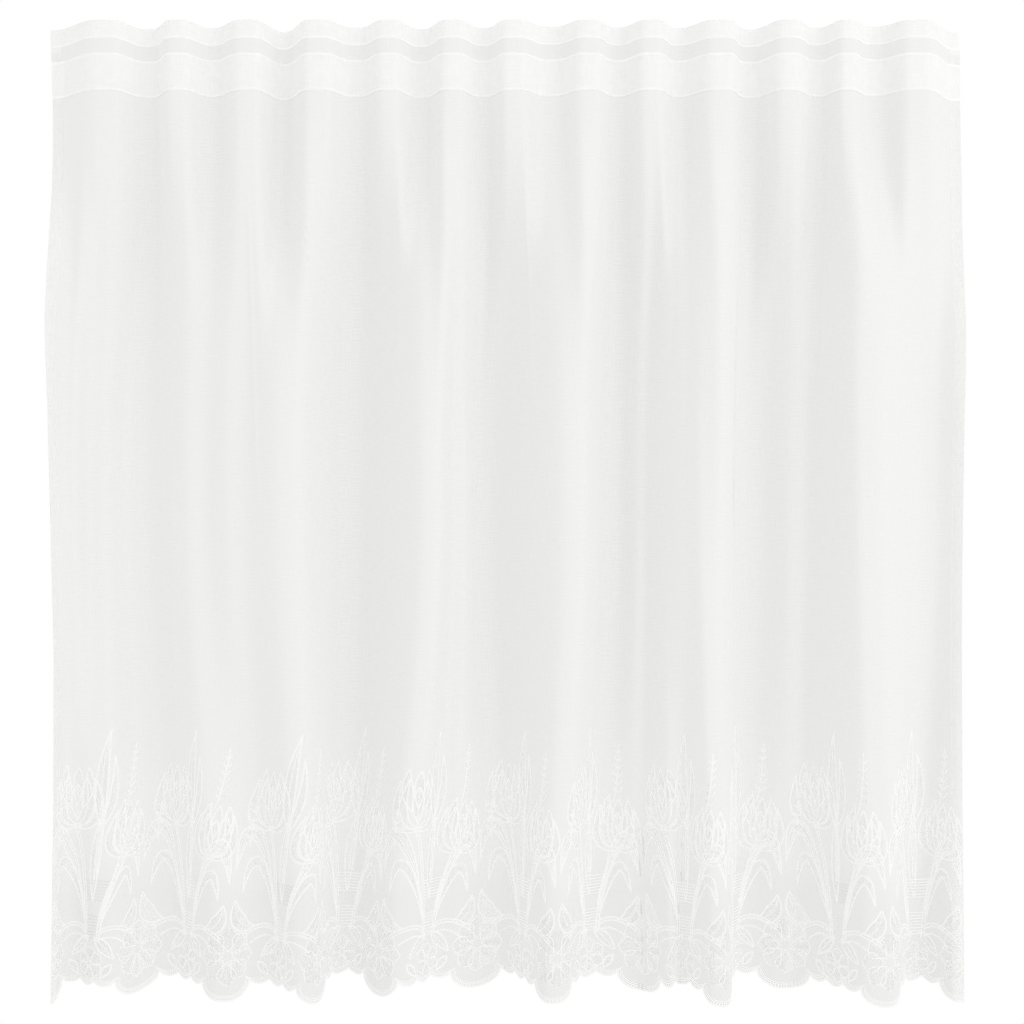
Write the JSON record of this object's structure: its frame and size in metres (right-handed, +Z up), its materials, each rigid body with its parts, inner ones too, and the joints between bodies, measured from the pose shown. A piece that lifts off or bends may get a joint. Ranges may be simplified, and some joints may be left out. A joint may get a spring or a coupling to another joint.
{
  "type": "lace curtain",
  "caption": "Sheer net curtain hanging in soft folds, with a hemmed top, a woven heading tape and a scalloped lace border with flower motifs.",
  "frame": {"origin": "middle of the curtain's top edge, in the plane that the cloth waves about", "axes": "+X across the curtain to the right as seen from the front, +Y from the front to the back, +Z up, so the cloth hangs down -Z"},
  "size_m": [1.3691, 0.1422, 1.45],
  "materials": {
    "sheer_cloth": "fine sheer voile, warm white, matt, with white lace work along the foot",
    "woven_tape": "close woven white tape, matt"
  },
  "bodies": {
    "root": {"curtain_panel": "sheer_cloth", "heading_tape": "woven_tape"}
  },
  "joints": []
}
